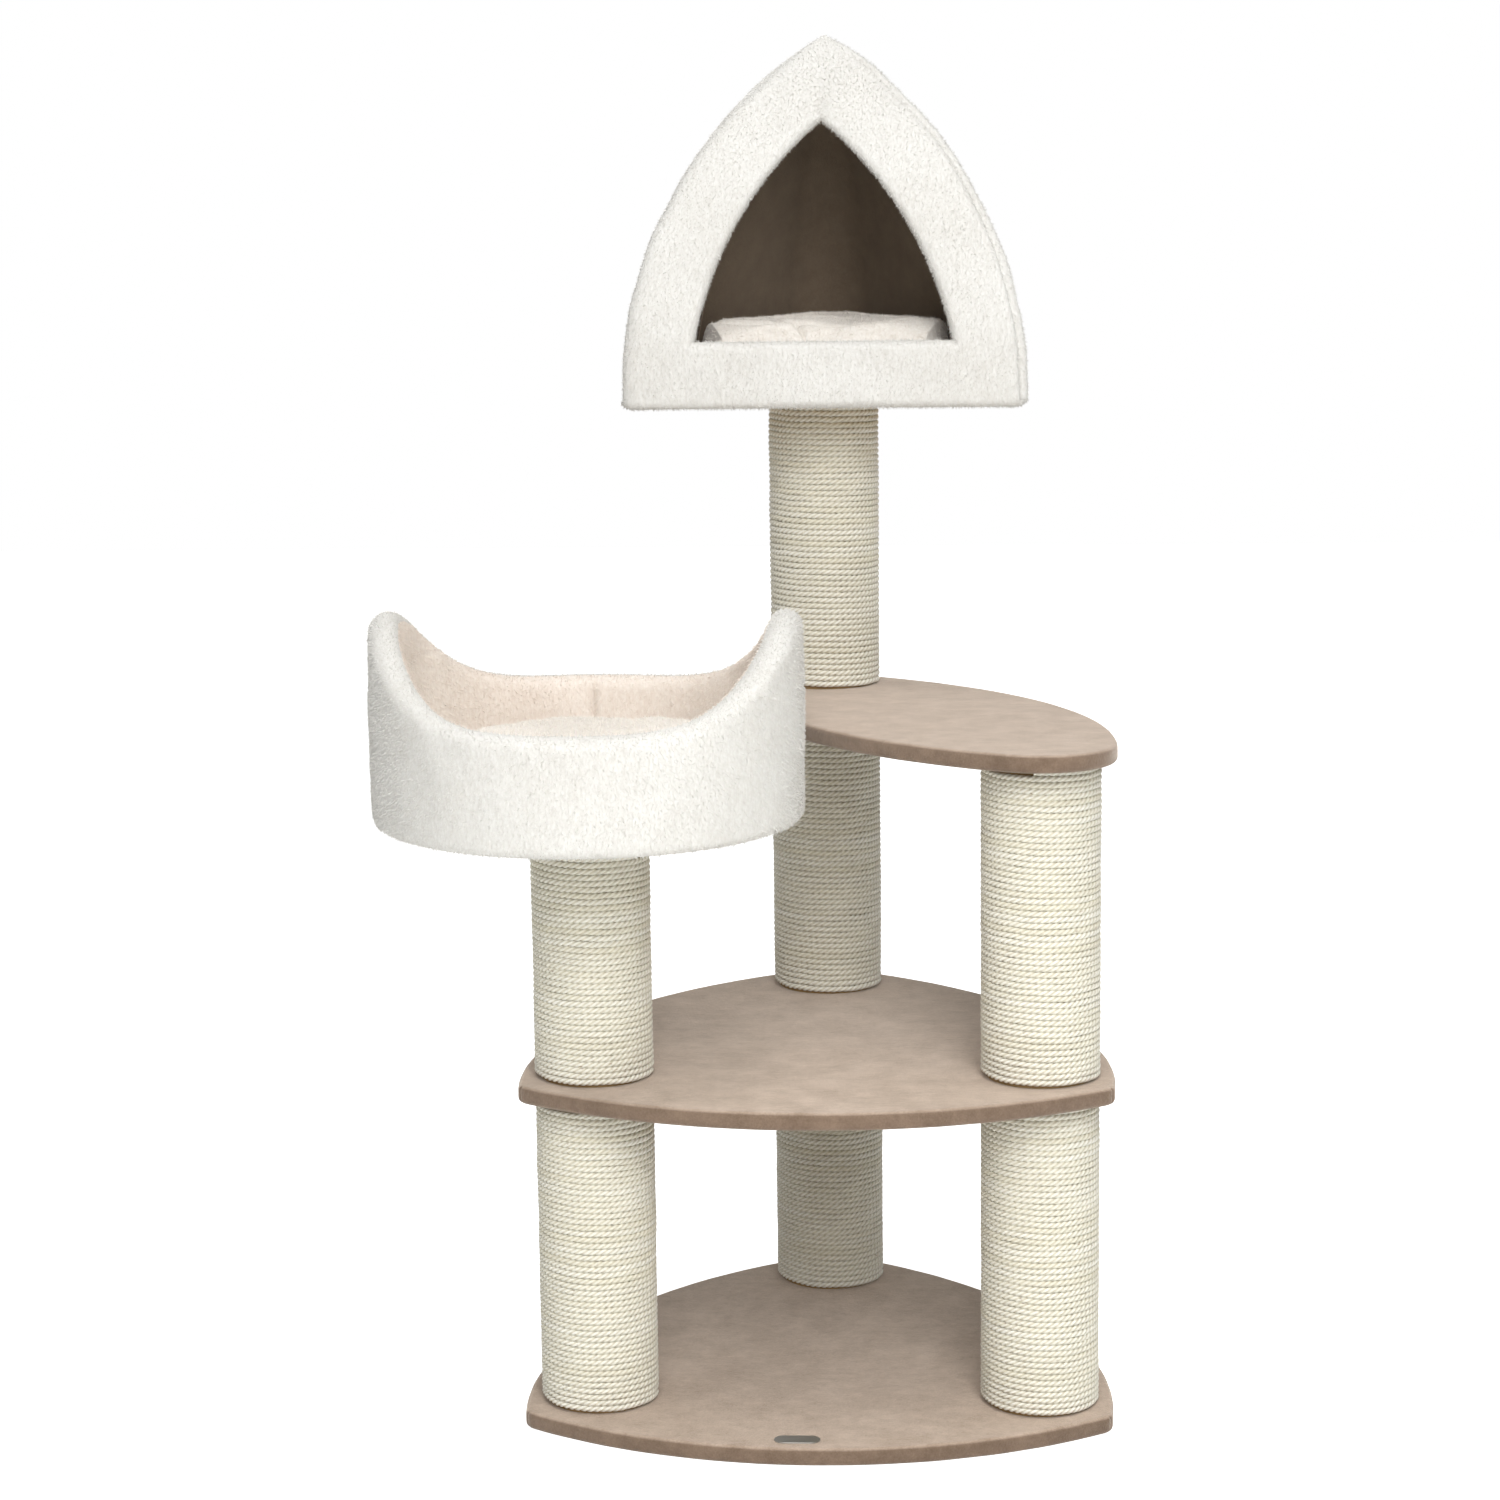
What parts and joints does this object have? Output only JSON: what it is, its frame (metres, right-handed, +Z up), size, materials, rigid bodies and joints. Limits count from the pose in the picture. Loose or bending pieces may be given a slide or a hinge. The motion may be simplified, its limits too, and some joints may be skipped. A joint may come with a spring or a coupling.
{
  "type": "cat tree",
  "caption": "Floor-standing cat tree with rope-wound scratching posts, covered boards, a round plush bed and an arched plush house.",
  "frame": {"origin": "on the floor, at the centre of the base board's outline", "axes": "+Z up, +X to the right seen from the front, +Y to the rear; the bed is at the front left and the house at the rear"},
  "size_m": [0.7389, 0.826, 1.4019],
  "materials": {
    "sisal_rope": "wound twisted sisal rope, matt",
    "cardboard": "spiral-wound tube, matt",
    "plywood": "sawn plywood, matt",
    "chipboard": "raw chipboard, matt",
    "taupe_suede": "short-napped microsuede, mottled",
    "dark_suede": "short-napped microsuede",
    "nonwoven": "thin felted non-woven",
    "bent_board": "bent thin board, matt",
    "outer_plush": "padded short-pile plush",
    "inner_plush": "padded short-pile plush",
    "cushion_plush": "soft filled plush",
    "plate_metal": "plain satin metal plate",
    "zinc_steel": "zinc-plated steel"
  },
  "bodies": {
    "tree": {"base_board": "chipboard", "base_bolts": "zinc_steel", "base_cover": "taupe_suede", "base_plate": "plate_metal", "base_underlay": "nonwoven", "base_washers": "zinc_steel", "bed_bolt": "zinc_steel", "bed_cover": "outer_plush", "bed_floor": "plywood", "bed_lining": "inner_plush", "bed_post_plugs": "plywood", "bed_post_rope": "sisal_rope", "bed_post_tube": "cardboard", "bed_underside": "outer_plush", "bed_wall": "bent_board", "bed_washer": "zinc_steel", "house_bolt": "zinc_steel", "house_floor": "plywood", "house_front_cover": "outer_plush", "house_front_lining": "dark_suede", "house_front_panel": "bent_board", "house_left_cover": "outer_plush", "house_left_lining": "dark_suede", "house_left_panel": "bent_board", "house_post_plugs": "plywood", "house_post_rope": "sisal_rope", "house_post_tube": "cardboard", "house_right_cover": "outer_plush", "house_right_lining": "dark_suede", "house_right_panel": "bent_board", "house_screws": "zinc_steel", "house_washer": "zinc_steel", "joining_studs": "zinc_steel", "lower_front_left_plugs": "plywood", "lower_front_left_rope": "sisal_rope", "lower_front_left_tube": "cardboard", "lower_front_right_plugs": "plywood", "lower_front_right_rope": "sisal_rope", "lower_front_right_tube": "cardboard", "lower_rear_plugs": "plywood", "lower_rear_rope": "sisal_rope", "lower_rear_tube": "cardboard", "middle_board": "chipboard", "middle_cover": "taupe_suede", "middle_rear_plugs": "plywood", "middle_rear_rope": "sisal_rope", "middle_rear_tube": "cardboard", "middle_underside": "taupe_suede", "post_inserts": "zinc_steel", "shelf_board": "chipboard", "shelf_cover": "taupe_suede", "shelf_nut": "zinc_steel", "shelf_post_plugs": "plywood", "shelf_post_rope": "sisal_rope", "shelf_post_tube": "cardboard", "shelf_underside": "taupe_suede"},
    "bed_cushion_body": {"bed_cushion": "cushion_plush"},
    "house_cushion_body": {"house_cushion": "cushion_plush"}
  },
  "joints": [
    {"name": "bed_cushion_lift", "type": "slide", "parent": "tree", "child": "bed_cushion_body", "axis": [0, 0, 1], "range_m": [0, 0.2]},
    {"name": "house_cushion_lift", "type": "slide", "parent": "tree", "child": "house_cushion_body", "axis": [0, 0, 1], "range_m": [0, 0.035]}
  ]
}
